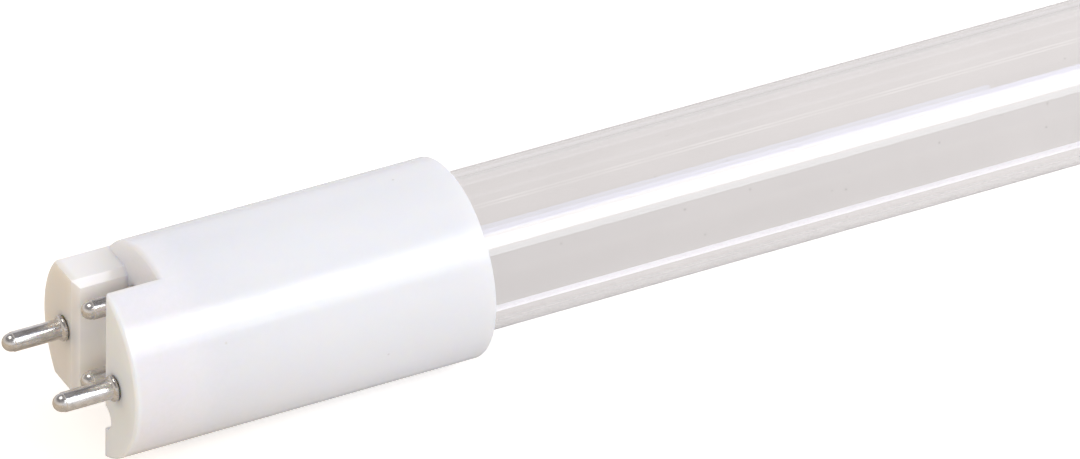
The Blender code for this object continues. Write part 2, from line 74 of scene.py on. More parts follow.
# Base moulding
PRONG_LENGTH = 0.0068
WEB_THICKNESS = 0.003
CAVITY_X = PRONG_LENGTH + WEB_THICKNESS
BORE_RADIUS = 0.0107
SLOT_HALF_WIDTH = 0.004
KEY_HALF_HEIGHT = 0.0076
KEY_FACE_CHAMFER = 0.0008
KEY_SIDE_CHAMFER = 0.0008
SLOT_EDGE_BREAK = 0.0002
GROOVE_RADIUS = 0.00165
GROOVE_DROP = 0.0056
FRONT_EDGE_RADIUS = 0.0004
REAR_EDGE_RADIUS = 0.0002
MOUTH_CHAMFER = 0.0005
NOTCH_EDGE_RADIUS = 0.0006
BASE_SEGMENTS = 256
CORNER_STEPS = 8
GROOVE_STEPS = 24

# Return wires' sleeves, and their channels in the base and the cap
RETURN_ANGLES = (math.radians(-36.5), math.radians(-92.0))
RETURN_WIRE_REACH = 0.0104
SLEEVE_RADIUS = 0.0006
SLEEVE_BORE_RADIUS = 0.00035
SLEEVE_SEGMENTS = 24
CHANNEL_RADIUS = 0.0009
CHANNEL_START = 0.0133
CHANNEL_SEGMENTS = 32

# Contact pins
PIN_RADIUS = 0.001175
PIN_NOSE = 0.0012
NOSE_STEP = 0.00008
NOSE_SEGMENTS = 12
COLLAR_RADIUS = 0.00155
COLLAR_THICKNESS = 0.0004
COLLAR_ROOT_LENGTH = 0.0001
COLLAR_ROOT_RISE = 0.00008
COLLAR_STEPS = 10
SEAT_GAP = 0.0003
COLLAR_CLEARANCE = 0.00002
PIN_BORE_RADIUS = 0.0006
PIN_BORE_DEPTH = 0.0045
PIN_SEGMENTS = 72

# Glass, and a faint line along it that glows with painted light
GLASS_WALL = 0.001
GLASS_END_ROUNDING = 0.0012
GLASS_LIP = 0.0006
GLASS_SEGMENTS = 256
GLOW_LINE_ANGLE = math.radians(68.8)
GLOW_LINE_HALF_WIDTH = math.radians(1.0)
GLOW_LINE_STRENGTH = 0.075

# End cap
CAP_END_WALL = 0.003
CAP_EDGE_RADIUS = 0.0015
CAP_EDGE_STEPS = 10
CAP_SEGMENTS = 192

# Painted light and shade on the white plastic, and a painted glow in its slot: where each part of
# it fades in or out
BARREL_PAINTED_LIGHT_START_X = 0.004
BARREL_PAINTED_LIGHT_END_X = 0.026
KEY_SIDE_FADE = (0.0036, 0.0042)
KEY_ROOT_FADE = 0.0004
FACE_DEPTH_FADE = (0.0002, 0.0009)
FACE_SIDE_FADE = (0.003, 0.006)
RECESS_SIDE_FADE = (0.0001, 0.0005)
RECESS_FACE_FADE = (0.0003, 0.0008)
RECESS_ROOT_FADE = (0.0006, 0.0002)
RECESS_RISE = (0.001, 0.006)
RECESS_TOP_SHARE = 0.35
SLOT_PAINTED_GLOW = 0.06

# Specks of dirt: how many fit in a metre, and a speck's share of the room each one has
PLASTIC_SPECKS = (160.0, 0.035)
GLASS_SPECKS = (220.0, 0.045)
SPECK_CORE = 0.4

# Camera, fitted to the photograph's silhouette, in the frame
CAMERA_PLACE = Vector((-0.5253, -1.0638, 0.8355))
CAMERA_TARGET = Vector((0.0579, 0.0, 0.0003))
CAMERA_ROLL = math.radians(1.66)
CAMERA_LENS = 425.3

# Soft boxes; a span is where one starts and ends along X
LIGHT_DISTANCE = 0.6
LIGHT_SPAN = (0.15, 0.54)
BASE_LIGHT_SPAN = (0.15, 0.295)
TUBE_LIGHT_SPAN = (0.295, 0.54)
NEAR_TUBE_LIGHT_SPAN = (0.295, 0.395)
TOP_LIGHT_PLACE = (-0.11, 0.13, 0.58)
TOP_LIGHT_SIZE = (0.17, 0.26)
TOP_LIGHT_RADIANCE = 5.0

# Room: its light on matt surfaces, mirrored and seen through the glass
ROOM_LIGHT = (0.865, 0.855, 0.895)
PIN_SIDE_LIGHT = (0.85, 0.80, 0.75)
PIN_SIDE_TURN = (0.0, -0.8)
DARK_ROOM = (0.26, 0.25, 0.26)
DARK_ROOM_RISE = (0.35, 0.7)
THROUGH_LIGHT = (0.72, 0.70, 0.69)

# Floor, and its painted light and shade through the glass before, behind and far behind the lamp
FLOOR_DROP = 0.00005
FLOOR_SIZE = 40.0
FLOOR_GLOW = 0.6
PIN_SIDE_FLOOR = (0.72, 0.61, 0.46)
PIN_SIDE_FLOOR_FADE = (-0.03, 0.03)
SEEN_THROUGH = 0.85
SEEN_THROUGH_SHARE = 0.68
FRONT_FLOOR_GAIN = 0.1
FRONT_FLOOR_FADE = (0.0, 0.0075)
BACK_FLOOR_GAIN = 0.075
BACK_FLOOR_FADE = (0.013, 0.020)
FAR_FLOOR_LOSS = 0.12
FAR_FLOOR_FADE = (0.064, 0.070)
# Painted light: through the glass the floor brightens towards the tube's far end
TUBE_FLOOR_FACTOR = 1.12
TUBE_FLOOR_FADE = (0.055, 0.125)


# Mesh helpers

def link_object(name, data, material=None):
    item = bpy.data.objects.new(name, data)
    bpy.context.scene.collection.objects.link(item)
    if material is not None:
        data.materials.append(material)
    return item


def close_mesh(name, bm):
    """Tidies a bmesh, turns its faces outward and returns it as smooth-shaded mesh data.

    The faces and their first corners take a fixed order, so that each run gives the same mesh.
    With this order the cuts in the base leave it closed.
    """
    bmesh.ops.remove_doubles(bm, verts=bm.verts, dist=MERGE_DISTANCE)
    bmesh.ops.dissolve_degenerate(bm, edges=bm.edges, dist=MERGE_DISTANCE)
    bmesh.ops.recalc_face_normals(bm, faces=bm.faces)
    bm.verts.index_update()
    places = [vert.co[:] for vert in bm.verts]
    faces = []
    for face in bm.faces:
        corners = [vert.index for vert in face.verts]
        first = corners.index(sorted(corners)[1])
        faces.append(corners[first:] + corners[:first])
    bm.free()
    mesh = bpy.data.meshes.new(name)
    mesh.from_pydata(places, [], sorted(faces))
    mesh.shade_smooth()
    mesh.set_sharp_from_angle(angle=SHARP_ANGLE)
    return mesh


def arc(centre_x, centre_r, radius, start_degrees, end_degrees, steps):
    """Points of a round corner in the plane of a turned profile."""
    points = []
    for step in range(steps + 1):
        angle = math.radians(start_degrees + (end_degrees - start_degrees) * step / steps)
        points.append((centre_x + radius * math.cos(angle), centre_r + radius * math.sin(angle)))
    return points


def lathe(name, profile, segments, closed=False):
    """Turns a profile of (x, radius) points about the X axis."""
    bm = bmesh.new()
    verts = [bm.verts.new((x, 0.0, radius)) for x, radius in profile]
    pairs = list(zip(verts, verts[1:]))
    if closed:
        pairs.append((verts[-1], verts[0]))
    edges = [bm.edges.new(pair) for pair in pairs]
    bmesh.ops.spin(
        bm,
        geom=verts + edges,
        cent=(0.0, 0.0, 0.0),
        axis=(1.0, 0.0, 0.0),
        angle=2.0 * math.pi,
        steps=segments,
        use_merge=True,
    )
    return close_mesh(name, bm)


def prism(name, outline, start, end, place):
    """Extrudes an outline of (u, v) points from start to end.

    place maps (u, v, w) to x, y and z.
    """
    bm = bmesh.new()
    face = bm.faces.new([bm.verts.new(place(u, v, start)) for u, v in outline])
    grown = bmesh.ops.extrude_face_region(bm, geom=[face])
    moved = [item for item in grown["geom"] if isinstance(item, bmesh.types.BMVert)]
    shift = Vector(place(0.0, 0.0, end)) - Vector(place(0.0, 0.0, start))
    bmesh.ops.translate(bm, verts=moved, vec=shift)
    return close_mesh(name, bm)


def along_x(u, v, w):
    return (w, u, v)


def along_z(u, v, w):
    return (u, v, w)


def around(angle, reach):
    """The (y, z) place at an angle from +Y towards +Z and a distance from the lamp's axis."""
    return (reach * math.cos(angle), reach * math.sin(angle))


def rod(name, radius, start, end, y, z, segments):
    """A round bar along X as an object."""
    profile = [(start, 0.0), (start, radius), (end, radius), (end, 0.0)]
    item = link_object(name, lathe(name, profile, segments))
    item.location = (0.0, y, z)
    return item


def channel_cutters(name, start, end):
    """Cutters for the two channels that the sleeved return wires lie in."""
    cutters = []
    for index, angle in enumerate(RETURN_ANGLES):
        y, z = around(angle, RETURN_WIRE_REACH)
        cutters.append(rod(
            f"{name}_{index}", CHANNEL_RADIUS, start, end, y, z, CHANNEL_SEGMENTS
        ))
    return cutters


def combine(target, tools, operation="DIFFERENCE"):
    """Cuts or joins each tool object into the target, then removes the tools."""
    for tool in tools:
        modifier = target.modifiers.new(tool.name, "BOOLEAN")
        modifier.operation = operation
        modifier.object = tool
        modifier.solver = "EXACT"
    apply_modifiers(target)
    for tool in tools:
        bpy.data.objects.remove(tool, do_unlink=True)


def apply_modifiers(item):
    """Replaces an object's mesh by what its modifiers make of it."""
    graph = bpy.context.evaluated_depsgraph_get()
    shaped = bpy.data.meshes.new_from_object(item.evaluated_get(graph), depsgraph=graph)
    item.modifiers.clear()
    item.data = shaped


def clean_cuts(item):
    """Merges the double points that cuts leave, and marks the sharp edges anew."""
    bm = bmesh.new()
    bm.from_mesh(item.data)
    bmesh.ops.remove_doubles(bm, verts=bm.verts, dist=MERGE_DISTANCE)
    bmesh.ops.dissolve_degenerate(bm, edges=bm.edges, dist=MERGE_DISTANCE)
    bm.to_mesh(item.data)
    bm.free()
    item.data.set_sharp_from_angle(angle=CUT_ANGLE)


def settle(piece, slot, *nodes):
    """Places a finished piece on the lamp's body and hides the nodes it stands for; slot is
    unused.
    """
    modifier = piece.modifiers.new("straight_normals", "WEIGHTED_NORMAL")
    modifier.mode = "FACE_AREA"
    modifier.keep_sharp = True
    apply_modifiers(piece)
    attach(piece, "root")
    if nodes:
        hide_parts(*nodes)


# Material helpers

def add_node(tree, kind, inputs=None, **settings):
    """Adds a shader node; inputs holds values or other nodes' outputs by socket name or index."""
    node = tree.nodes.new(kind)
    for key, value in settings.items():
        setattr(node, key, value)
    for key, value in (inputs or {}).items():
        if isinstance(value, bpy.types.NodeSocket):
            tree.links.new(value, node.inputs[key])
        else:
            node.inputs[key].default_value = value
    return node


def new_material(name, **values):
    """A material with its tree, its shader and its object coordinates."""
    material = bpy.data.materials.new(name)
    material.use_nodes = True
    tree = material.node_tree
    shader = tree.nodes["Principled BSDF"]
    for key, value in values.items():
        shader.inputs[key.replace("_", " ")].default_value = value
    place = tree.nodes.new("ShaderNodeTexCoord").outputs["Object"]
    return material, tree, shader, place


def calculate(tree, operation, *values, clamp=False):
    """The result of a Math node on its values, each a number or another node's output."""
    node = add_node(
        tree, "ShaderNodeMath", dict(enumerate(values)), operation=operation, use_clamp=clamp
    )
    return node.outputs[0]


def overlap(tree, *masks):
    """Where all the masks hold: their product."""
    result = masks[0]
    for mask in masks[1:]:
        result = calculate(tree, "MULTIPLY", result, mask)
    return result


def coordinates(tree, place):
    """The x, y and z of a place, each as an output."""
    return add_node(tree, "ShaderNodeSeparateXYZ", {0: place}).outputs[:]


def noise(tree, place, scale, detail=2.0, roughness=0.5, stretch=(1.0, 1.0, 1.0)):
    """Grey noise; stretch multiplies the coordinates."""
    mapping = add_node(tree, "ShaderNodeMapping", {"Vector": place, "Scale": stretch})
    texture = add_node(tree, "ShaderNodeTexNoise", {
        "Vector": mapping.outputs["Vector"],
        "Scale": scale,
        "Detail": detail,
        "Roughness": roughness,
    })
    return texture.outputs["Fac"]


def spread(tree, value, low, high, from_low=0.3, from_high=0.7):
    """Maps from_low..from_high, by default a noise's usual range, to low..high."""
    node = add_node(tree, "ShaderNodeMapRange", {
        "Value": value,
        "From Min": from_low,
        "From Max": from_high,
        "To Min": low,
        "To Max": high,
    })
    return node.outputs["Result"]


def ease(tree, value, start, end):
    """0 before start and 1 past end, with a smooth step between."""
    node = add_node(tree, "ShaderNodeMapRange", {
        "Value": value, "From Min": start, "From Max": end,
    }, interpolation_type="SMOOTHSTEP")
    return node.outputs[0]


def blend_colours(tree, factor, first, second):
    """Mixes two colours, each a tuple or another node's output."""
    node = tree.nodes.new("ShaderNodeMix")
    node.data_type = "RGBA"
    for index, value in ((0, factor), (6, first), (7, second)):
        if isinstance(value, bpy.types.NodeSocket):
            tree.links.new(value, node.inputs[index])
        elif isinstance(value, tuple):
            node.inputs[index].default_value = (*value, 1.0)
        else:
            node.inputs[index].default_value = value
    return node.outputs[2]


def add_bump(tree, shader, height, strength, distance):
    """Links a height to a shader's normal; distance is the height in metres of a full step."""
    bump = add_node(tree, "ShaderNodeBump", {
        "Height": height,
        "Strength": strength,
        "Distance": distance,
    })
    tree.links.new(bump.outputs["Normal"], shader.inputs["Normal"])


# Materials

def specks(tree, place, scale, size):
    """Sparse specks of dirt: 1 in a speck and 0 outside; size is a share of their spacing."""
    texture = add_node(tree, "ShaderNodeTexVoronoi", {"Vector": place, "Scale": scale})
    return spread(tree, texture.outputs["Distance"], 1.0, 0.0, size * SPECK_CORE, size)


def painted_slot_light(tree, place):
    """Painted light on the slot's walls between the prongs: 1 low, less near the top, 0 elsewhere.
    """
    x, y, z = coordinates(tree, place)
    side_start, side_end = (SLOT_HALF_WIDTH + reach for reach in RECESS_SIDE_FADE)
    inside = spread(tree, calculate(tree, "ABSOLUTE", y), 1.0, 0.0, side_start, side_end)
    behind_face = spread(tree, x, 0.0, 1.0, *RECESS_FACE_FADE)
    root_start, root_end = (PRONG_LENGTH - reach for reach in RECESS_ROOT_FADE)
    before_root = spread(tree, x, 1.0, 0.0, root_start, root_end)
    deep = spread(tree, z, 1.0, RECESS_TOP_SHARE, *RECESS_RISE)
    return overlap(tree, inside, behind_face, before_root, deep)


def prong_face(tree, place, side):
    """1 on one prong's face and 0 elsewhere; side is 1 for the key prong and -1 for the front."""
    x, y, _ = coordinates(tree, place)
    front = spread(tree, x, 1.0, 0.0, *FACE_DEPTH_FADE)
    beside = spread(tree, calculate(tree, "MULTIPLY", y, side), 0.0, 1.0, *FACE_SIDE_FADE)
    return overlap(tree, front, beside)


def key_prong(tree, place):
    """1 on the key prong and 0 elsewhere."""
    x, y, _ = coordinates(tree, place)
    beside = spread(tree, y, 0.0, 1.0, *KEY_SIDE_FADE)
    before_root = spread(tree, x, 1.0, 0.0, PRONG_LENGTH - KEY_ROOT_FADE, PRONG_LENGTH)
    return overlap(tree, beside, before_root)


def moulded_plastic():
    """White glossy plastic with fine mottling, a soft moulded grain and a few faint specks.

    It is painted lighter on the barrel than near the pins, lighter and warmer on the key prong,
    darker and warmer on the key prong's face, and lighter and cooler on the front prong's face.
    The walls of the slot are painted lighter and glow with painted light.
    """
    material, tree, shader, place = new_material(
        "white_moulded_plastic",
        IOR=1.5,
        Specular_IOR_Level=0.32,
        Subsurface_Weight=0.8,
        Subsurface_Radius=(1.0, 0.85, 0.65),
        Subsurface_Scale=0.0025,
    )
    cloud = noise(tree, place, 160.0, detail=3.0)
    grain = noise(tree, place, 1800.0, detail=4.0, roughness=0.6)
    mottled = blend_colours(
        tree, spread(tree, cloud, 0.0, 1.0), (0.835, 0.845, 0.885), (0.86, 0.868, 0.905)
    )
    grained = blend_colours(tree, spread(tree, grain, 0.0, 1.0), mottled, (0.87, 0.87, 0.93))
    # slot holds where the slot's walls are painted lighter and glow
    slot = painted_slot_light(tree, place)
    x, _, _ = coordinates(tree, place)
    colour = grained
    for mask, tint in (
        # Painted light: lighter towards the glass end
        (spread(tree, x, 0.0, 1.0, BARREL_PAINTED_LIGHT_START_X, BARREL_PAINTED_LIGHT_END_X), (0.965, 0.968, 0.99)),
        # Painted light: lighter and warmer on the key prong, against the notch wall's shade
        (key_prong(tree, place), (0.925, 0.915, 0.905)),
        # Painted shade: darker and warmer on the key prong's face
        (prong_face(tree, place, 1.0), (0.84, 0.80, 0.74)),
        # Painted light: lighter and cooler on the front prong's face
        (prong_face(tree, place, -1.0), (0.885, 0.94, 1.0)),
        # Painted light: lighter on the slot's walls
        (slot, (0.97, 0.955, 0.93)),
        (specks(tree, place, *PLASTIC_SPECKS), (0.82, 0.81, 0.81)),
    ):
        colour = blend_colours(tree, mask, colour, tint)
    tree.links.new(colour, shader.inputs["Base Color"])
    tree.links.new(spread(tree, grain, 0.08, 0.14), shader.inputs["Roughness"])
    # Painted glow: the slot's walls give off a little warm light
    through = calculate(tree, "MULTIPLY", slot, SLOT_PAINTED_GLOW)
    shader.inputs["Emission Color"].default_value = (1.0, 0.88, 0.62, 1.0)
    tree.links.new(through, shader.inputs["Emission Strength"])
    add_bump(tree, shader, calculate(tree, "ADD", cloud, grain), 0.25, 0.00002)
    return material


def plated_metal():
    """Dull nickel with drawn scratches along the pin and darker clouds."""
    material, tree, shader, place = new_material("nickel_plated_metal", Metallic=1.0)
    cloud = noise(tree, place, 900.0, detail=3.0)
    scratch = noise(tree, place, 9000.0, detail=3.0, stretch=(0.06, 1.0, 1.0))
    colour = blend_colours(
        tree, spread(tree, cloud, 0.0, 1.0), (0.56, 0.54, 0.52), (0.78, 0.76, 0.74)
    )
    tree.links.new(colour, shader.inputs["Base Color"])
    tree.links.new(spread(tree, scratch, 0.18, 0.32), shader.inputs["Roughness"])
    dent = noise(tree, place, 1300.0, detail=4.0)
    relief = calculate(tree, "MULTIPLY_ADD", scratch, 0.2, dent)
    add_bump(tree, shader, relief, 0.5, 0.00004)
    return material


def glow_line(tree, place):
    """A faint, broken line along the tube that glows with painted light: 1 on it and 0 off it."""
    _, y, z = coordinates(tree, place)
    forward = calculate(tree, "MULTIPLY", y, -1.0)
    angle = calculate(tree, "ARCTAN2", z, forward)
    offset = calculate(tree, "SUBTRACT", angle, GLOW_LINE_ANGLE)
    distance = calculate(tree, "ABSOLUTE", offset)
    line = spread(tree, distance, 1.0, 0.0, 0.0, GLOW_LINE_HALF_WIDTH)
    line_breaks = noise(tree, place, 110.0, detail=3.0, stretch=(1.0, 0.1, 0.1))
    return overlap(tree, line, spread(tree, line_breaks, 0.45, 1.0, 0.4, 0.6))


def lamp_glass():
    """Clear drawn glass with faint streaks, a little dust and one line of painted glow."""
    material, tree, shader, place = new_material(
        "drawn_lamp_glass", IOR=1.47, Transmission_Weight=1.0
    )
    streak = noise(tree, place, 260.0, detail=2.0, stretch=(0.03, 1.0, 1.0))
    haze = noise(tree, place, 90.0, detail=4.0)
    tint = blend_colours(
        tree, spread(tree, haze, 0.0, 1.0), (0.93, 0.92, 0.92), (0.95, 0.94, 0.94)
    )
    line = glow_line(tree, place)
    # The line is tinted whiter and glows: a painted highlight
    line_tint = blend_colours(tree, line, tint, (1.0, 1.0, 1.0))
    dust = specks(tree, place, *GLASS_SPECKS)
    colour = blend_colours(tree, dust, line_tint, (0.72, 0.70, 0.69))
    tree.links.new(colour, shader.inputs["Base Color"])
    shader.inputs["Emission Color"].default_value = (1.0, 0.97, 0.98, 1.0)
    # Painted highlight: the line's glow
    line_glow = calculate(tree, "MULTIPLY", line, GLOW_LINE_STRENGTH)
    tree.links.new(line_glow, shader.inputs["Emission Strength"])
    tree.links.new(spread(tree, haze, 0.0, 0.012), shader.inputs["Roughness"])
    add_bump(tree, shader, streak, 0.09, 0.00002)
    return material


def powdery(name, first, second, scale, roughness, height=0.00005):
    """A dull, grainy mineral finish."""
    material, tree, shader, place = new_material(name)
    cloud = noise(tree, place, scale, detail=5.0, roughness=0.65)
    tree.links.new(
        blend_colours(tree, spread(tree, cloud, 0.0, 1.0), first, second),
        shader.inputs["Base Color"],
    )
    tree.links.new(
        spread(tree, cloud, roughness - 0.1, roughness + 0.1), shader.inputs["Roughness"]
    )
    add_bump(tree, shader, cloud, 0.6, height)
    return material


def drawn_wire(name, first, second):
    """Bare metal wire with fine drawing marks."""
    material, tree, shader, place = new_material(name, Metallic=1.0)
    mark = noise(tree, place, 4000.0, detail=3.0)
    tree.links.new(
        blend_colours(tree, spread(tree, mark, 0.0, 1.0), first, second),
        shader.inputs["Base Color"],
    )
    tree.links.new(spread(tree, mark, 0.2, 0.4), shader.inputs["Roughness"])
    add_bump(tree, shader, mark, 0.3, 0.000005)
    return material


def sleeve_plastic():
    """Milky insulating sleeve that glows with painted light."""
    material, tree, shader, place = new_material(
        "milky_sleeve",
        IOR=1.38,
        Transmission_Weight=0.1,
        # Painted light: the sleeve glows, which makes it brighter than it is lit
        Emission_Color=(0.90, 0.92, 1.0, 1.0),
        Emission_Strength=0.62,
    )
    cloud = noise(tree, place, 700.0, detail=3.0, stretch=(0.2, 1.0, 1.0))
    tree.links.new(
        blend_colours(tree, spread(tree, cloud, 0.0, 1.0), (0.91, 0.90, 0.89), (0.94, 0.93, 0.93)),
        shader.inputs["Base Color"],
    )
    tree.links.new(spread(tree, cloud, 0.3, 0.45), shader.inputs["Roughness"])
    add_bump(tree, shader, cloud, 0.1, 0.00002)
    return material


def inner_glass():
    """Softer, slightly green-grey glass of the stems."""
    material, tree, shader, place = new_material(
        "stem_glass", IOR=1.52, Transmission_Weight=1.0
    )
    wave = noise(tree, place, 300.0, detail=2.0)
    tree.links.new(
        blend_colours(tree, spread(tree, wave, 0.0, 1.0), (0.90, 0.92, 0.91), (0.95, 0.96, 0.95)),
        shader.inputs["Base Color"],
    )
    tree.links.new(spread(tree, wave, 0.0, 0.05), shader.inputs["Roughness"])
    add_bump(tree, shader, wave, 0.4, 0.0001)
    return material


def painted_floor_shadow(tree, y):
    """A painted shadow of the lamp on the floor seen through the glass."""
    # Painted light and shade: the floor gains before and behind the shadow, and loses far behind
    # it
    before = spread(tree, y, FRONT_FLOOR_GAIN, 0.0, *FRONT_FLOOR_FADE)
    behind = spread(tree, y, 0.0, BACK_FLOOR_GAIN, *BACK_FLOOR_FADE)
    far = spread(tree, y, 0.0, -FAR_FLOOR_LOSS, *FAR_FLOOR_FADE)
    return calculate(tree, "ADD", calculate(tree, "ADD", before, behind), far)


def floor_material():
    """Pale studio floor: white to the camera, greyer on the lamp, with a painted shadow through
    glass.
    """
    material, tree, shader, place = new_material(
        "pale_studio_floor", Roughness=0.9, Specular_IOR_Level=0.1
    )
    x, y, _ = coordinates(tree, place)
    path = tree.nodes.new("ShaderNodeLightPath")
    shade = noise(tree, place, 3.0, detail=2.0)
    pale = blend_colours(
        tree, spread(tree, shade, 0.0, 1.0), (0.73, 0.71, 0.69), (0.75, 0.73, 0.71)
    )
    pin_side = spread(tree, x, 1.0, 0.0, *PIN_SIDE_FLOOR_FADE)
    tree.links.new(
        blend_colours(tree, pin_side, pale, PIN_SIDE_FLOOR), shader.inputs["Base Color"]
    )
    shader.inputs["Emission Color"].default_value = (1.0, 1.0, 1.0, 1.0)
    glow = calculate(tree, "MULTIPLY", path.outputs["Is Camera Ray"], FLOOR_GLOW)
    tree.links.new(glow, shader.inputs["Emission Strength"])
    # Painted shadow and light on the floor as seen through the glass
    level = calculate(tree, "ADD", SEEN_THROUGH, painted_floor_shadow(tree, y))
    level = calculate(
        tree, "MULTIPLY", level, spread(tree, x, 1.0, TUBE_FLOOR_FACTOR, *TUBE_FLOOR_FADE)
    )
    painted_floor_light = add_node(tree, "ShaderNodeEmission", {
        "Color": (1.0, 0.975, 0.965, 1.0), "Strength": level,
    })
    share = calculate(tree, "MULTIPLY", path.outputs["Is Transmission Ray"], SEEN_THROUGH_SHARE)
    mixed = add_node(tree, "ShaderNodeMixShader", {
        0: share, 1: shader.outputs[0], 2: painted_floor_light.outputs[0],
    })
    tree.links.new(mixed.outputs[0], tree.nodes["Material Output"].inputs["Surface"])
    return material


# Stage

def make_floor():
    """A plain floor just under the base, so that nothing of the lamp cuts it."""
    bm = bmesh.new()
    half = FLOOR_SIZE / 2
    z = -BASE_RADIUS - FLOOR_DROP
    corners = ((-half, -half), (half, -half), (half, half), (-half, half))
    bm.faces.new([bm.verts.new((x, y, z)) for x, y in corners])
    floor = link_object("studio_floor", close_mesh("studio_floor", bm), floor_material())


def make_world():
    """Even light for matt surfaces and a darker room for mirrored ones."""
    world = bpy.data.worlds.new("studio")
    world.use_nodes = True
    bpy.context.scene.world = world
    tree = world.node_tree
    background = tree.nodes["Background"]
    path = tree.nodes.new("ShaderNodeLightPath")
    mirrored = calculate(
        tree,
        "SUBTRACT",
        path.outputs["Is Glossy Ray"],
        path.outputs["Is Transmission Ray"],
        clamp=True,
    )
    direction = tree.nodes.new("ShaderNodeTexCoord").outputs["Generated"]
    x, _, z = coordinates(tree, direction)
    even = blend_colours(tree, ease(tree, x, *PIN_SIDE_TURN), ROOM_LIGHT, PIN_SIDE_LIGHT)
    seen = blend_colours(tree, ease(tree, z, *DARK_ROOM_RISE), even, DARK_ROOM)
    plain = blend_colours(tree, path.outputs["Is Transmission Ray"], even, THROUGH_LIGHT)
    colour = blend_colours(tree, mirrored, plain, seen)
    tree.links.new(colour, background.inputs["Color"])
    background.inputs["Strength"].default_value = 1.0


def limit_light(light, sheen_only):
    """Hides a light from the camera, through the glass and, if sheen_only, from matt surfaces."""
    light.visible_camera = False
    light.visible_transmission = False
    light.visible_diffuse = not sheen_only


def strip_light(name, angles, radiance, colour, sheen_only=True, span=LIGHT_SPAN):
    """A soft box beside the lamp, seen from its axis between two angles from -Y up to +Z.

    With sheen_only it shows as a reflection and lights no matt surface.
    """
    low, high = (math.radians(degrees) for degrees in angles)
    middle = (low + high) / 2
    half_angle = (high - low) / 2
    start, end = span
    data = bpy.data.lights.new(name, "AREA")
    data.shape = "RECTANGLE"
    data.size = end - start
    data.size_y = 2.0 * LIGHT_DISTANCE * math.tan(half_angle)
    data.energy = radiance * math.pi * data.size * data.size_y
    data.color = colour
    light = link_object(name, data)
    outward = Vector((0.0, -math.cos(middle), math.sin(middle)))
    across = Vector((1.0, 0.0, 0.0))
    turn = Matrix((across, outward.cross(across), outward)).transposed()
    centre = Vector(((start + end) / 2, 0.0, 0.0)) + outward * LIGHT_DISTANCE
    light.matrix_world = Matrix.Translation(centre) @ turn.to_4x4()
    limit_light(light, sheen_only)


def top_light():
    """A small soft box over the pins that shows only as glints on metal and round edges."""
    width, depth = TOP_LIGHT_SIZE
    data = bpy.data.lights.new("top_box", "AREA")
    data.shape = "RECTANGLE"
    data.size = width
    data.size_y = depth
    data.energy = TOP_LIGHT_RADIANCE * math.pi * width * depth
    data.color = (1.0, 0.97, 0.92)
    light = link_object("top_box", data)
    light.location = TOP_LIGHT_PLACE
    limit_light(light, sheen_only=True)


def make_lights():
    """The key light as strips side by side, each with its own tint, and the light on the pins."""
    white = (0.97, 0.98, 1.0)
    strip_light("key_box", (31.0, 53.0), 4.3, white, sheen_only=False)
    strip_light("key_core", (33.0, 55.0), 4.4, (0.96, 0.98, 1.0))
    strip_light("key_upper_edge", (53.0, 61.5), 6.4, (0.60, 0.68, 1.0), span=TUBE_LIGHT_SPAN)
    strip_light("key_base_edge", (55.0, 60.0), 3.0, white, span=BASE_LIGHT_SPAN)
    strip_light("key_upper_haze", (61.5, 68.0), 3.8, (0.48, 0.62, 1.0), span=NEAR_TUBE_LIGHT_SPAN)
    strip_light("key_lower_edge", (23.5, 31.0), 4.2, (0.88, 0.97, 1.0))
    top_light()


def make_camera():
    """The camera at the photograph's viewing angle."""
    data = bpy.data.cameras.new("camera")
    data.lens = CAMERA_LENS
    data.clip_end = 50.0
    camera = bpy.data.objects.new("camera", data)
    bpy.context.scene.collection.objects.link(camera)
    camera.location = CAMERA_PLACE
    aim = (CAMERA_TARGET - CAMERA_PLACE).to_track_quat("-Z", "Y")
    camera.rotation_mode = "QUATERNION"
    camera.rotation_quaternion = aim @ Quaternion((0.0, 0.0, 1.0), CAMERA_ROLL)
    bpy.context.scene.camera = camera


# Pieces

def base_profile():
    """The base before its slot: prong face, side, rounded rear edge, bore and web."""
    front = FRONT_EDGE_RADIUS
    rear = REAR_EDGE_RADIUS
    return [
        (0.0, 0.0),
        *arc(front, BASE_RADIUS - front, front, 180, 90, CORNER_STEPS),
        *arc(BASE_LENGTH - rear, BASE_RADIUS - rear, rear, 90, 0, CORNER_STEPS),
        (BASE_LENGTH, BORE_RADIUS + MOUTH_CHAMFER * 0.5),
        (BASE_LENGTH - MOUTH_CHAMFER, BORE_RADIUS),
        (CAVITY_X, BORE_RADIUS),
        (CAVITY_X, 0.0),
    ]


def prong_gap_outline():
    """Section of all that is cut away between and beside the prongs, as (y, z) points."""
    beyond = BASE_RADIUS + OVERCUT
    groove = []
    for step in range(GROOVE_STEPS + 1):
        angle = math.radians(90.0 + 180.0 * step / GROOVE_STEPS)
        groove.append((
            -SLOT_HALF_WIDTH + GROOVE_RADIUS * math.cos(angle),
            -GROOVE_DROP + GROOVE_RADIUS * math.sin(angle),
        ))
    return [
        (-SLOT_HALF_WIDTH, beyond),
        *groove,
        (-SLOT_HALF_WIDTH, -beyond),
        (beyond, -beyond),
        (beyond, -KEY_HALF_HEIGHT),
        (SLOT_HALF_WIDTH + KEY_SIDE_CHAMFER, -KEY_HALF_HEIGHT),
        (SLOT_HALF_WIDTH, -KEY_HALF_HEIGHT + KEY_SIDE_CHAMFER),
        (SLOT_HALF_WIDTH, KEY_HALF_HEIGHT - KEY_SIDE_CHAMFER),
        (SLOT_HALF_WIDTH + KEY_SIDE_CHAMFER, KEY_HALF_HEIGHT),
        (beyond, KEY_HALF_HEIGHT),
        (beyond, beyond),
    ]


